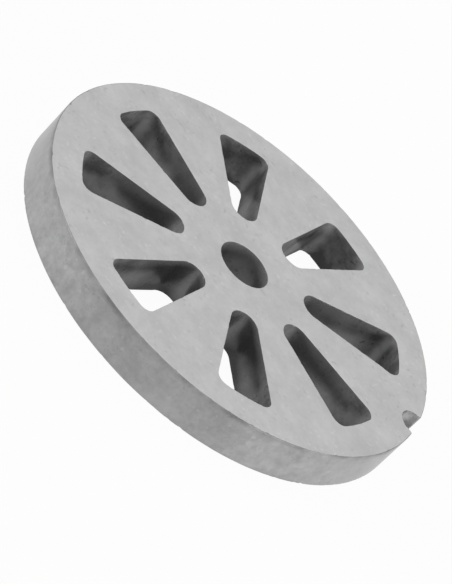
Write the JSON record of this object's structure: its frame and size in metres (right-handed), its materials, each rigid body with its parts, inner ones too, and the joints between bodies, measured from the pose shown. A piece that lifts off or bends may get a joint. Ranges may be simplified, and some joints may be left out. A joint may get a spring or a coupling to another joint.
{
  "type": "meat grinder plate",
  "caption": "Round flat steel plate with tapered radial slots, a centre bore and a round-bottomed locating notch in its rim.",
  "frame": {"origin": "on the bore's axis, in the plane of the lower face that the plate rests on", "axes": "+Z along the bore, towards the upper face; +X along the centreline of one slot, 22.5 degrees round from the rim notch"},
  "size_m": [0.1, 0.1, 0.0099],
  "materials": {
    "steel": "dull grey, ground flat on both faces, darker and rougher inside the slots"
  },
  "bodies": {
    "root": {"grinder_plate": "steel"}
  },
  "joints": []
}
